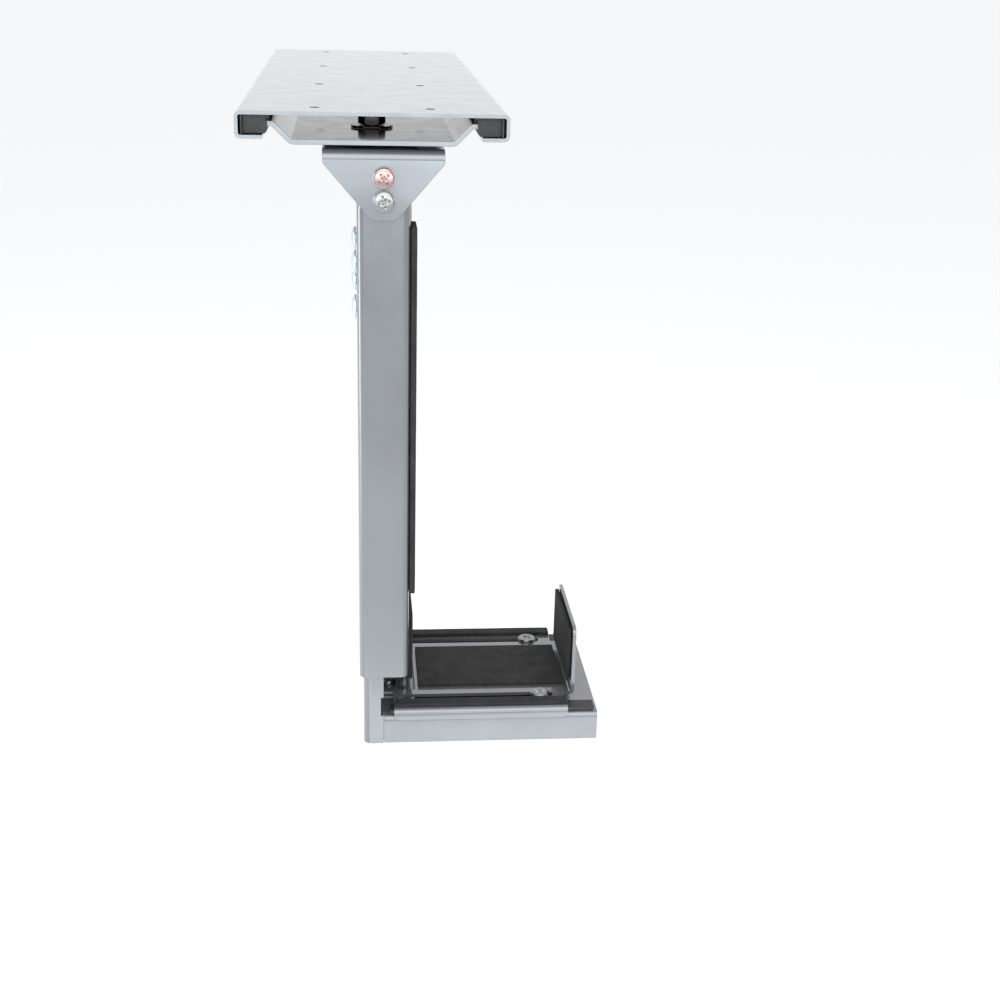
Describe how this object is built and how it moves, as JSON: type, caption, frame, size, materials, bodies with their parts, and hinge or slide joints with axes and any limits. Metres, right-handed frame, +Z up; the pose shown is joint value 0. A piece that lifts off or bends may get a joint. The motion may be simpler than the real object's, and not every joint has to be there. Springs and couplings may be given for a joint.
{
  "type": "cpu holder",
  "caption": "Under-desk computer holder: a swivelling telescopic steel column with a tray, hung from a sliding carriage in a track.",
  "frame": {"origin": "centre of the track's top face, the face that is screwed to the underside of the desk", "axes": "+Z up through the desk, +Y to the back along the track, +X to the right, from the column towards the tray"},
  "size_m": [0.2035, 0.432, 0.3683],
  "materials": {
    "coated_steel": "satin silver-grey powder coat with a fine orange-peel texture",
    "zinc_steel": "bright zinc plate",
    "black_steel": "glossy black oxide",
    "black_nylon": "moulded, slightly glossy",
    "black_foam": "matt closed-cell foam rubber"
  },
  "bodies": {
    "track": {"desk_track": "coated_steel", "front_stop_pin_left": "black_steel", "front_stop_pin_right": "black_steel", "rear_stop_pin_left": "black_steel", "rear_stop_pin_right": "black_steel"},
    "carriage": {"carriage_plate": "coated_steel", "glide_front_left": "black_nylon", "glide_front_right": "black_nylon", "glide_rear_left": "black_nylon", "glide_rear_right": "black_nylon", "pivot_bolt": "black_steel", "pivot_nut": "black_steel", "pivot_washer_upper": "black_steel", "pivot_washer_lower": "zinc_steel", "swivel_disc": "black_nylon"},
    "swivel": {"swivel_bracket": "coated_steel", "outer_column": "coated_steel", "upper_pad_front": "black_foam", "upper_pad_rear": "black_foam", "bracket_screw_front_upper": "zinc_steel", "bracket_nut_front_upper": "zinc_steel", "bracket_screw_front_lower": "zinc_steel", "bracket_nut_front_lower": "zinc_steel", "bracket_screw_rear_upper": "zinc_steel", "bracket_nut_rear_upper": "zinc_steel", "bracket_screw_rear_lower": "zinc_steel", "bracket_nut_rear_lower": "zinc_steel"},
    "lower_frame": {"inner_column": "coated_steel", "column_guide_front": "black_nylon", "column_guide_rear": "black_nylon", "tray_base": "coated_steel", "slide_strip_front": "black_nylon", "slide_strip_rear": "black_nylon", "side_plate": "coated_steel", "side_pad": "black_foam", "height_nut_front_upper": "zinc_steel", "height_bolt_front_upper": "coated_steel", "height_nut_front_lower": "zinc_steel", "height_bolt_front_lower": "coated_steel", "side_plate_screw_front": "zinc_steel", "side_plate_nut_front": "zinc_steel", "lock_screw_front": "zinc_steel", "lock_washer_front": "zinc_steel", "lock_nut_front": "zinc_steel", "height_nut_rear_upper": "zinc_steel", "height_bolt_rear_upper": "coated_steel", "height_nut_rear_lower": "zinc_steel", "height_bolt_rear_lower": "coated_steel", "side_plate_screw_rear": "zinc_steel", "side_plate_nut_rear": "zinc_steel", "lock_screw_rear": "zinc_steel", "lock_washer_rear": "zinc_steel", "lock_nut_rear": "zinc_steel"},
    "slider": {"tray_slider": "coated_steel", "lip_pad": "black_foam", "floor_pad_front": "black_foam", "floor_pad_rear": "black_foam", "floor_pad_middle": "black_foam"}
  },
  "joints": [
    {"name": "track_slide", "type": "slide", "parent": "track", "child": "carriage", "axis": [0, 1, 0], "range_m": [0, 0.3]},
    {"name": "swivel", "type": "hinge", "parent": "carriage", "child": "swivel", "pos_m": [0, -0.152, -0.018], "axis": [0, 0, 1], "continuous": true},
    {"name": "height_slide", "type": "slide", "parent": "swivel", "child": "lower_frame", "axis": [0, 0, -1], "range_m": [-0.015, 0.2]},
    {"name": "width_slide", "type": "slide", "parent": "lower_frame", "child": "slider", "axis": [1, 0, 0], "range_m": [-0.004, 0.08]}
  ]
}
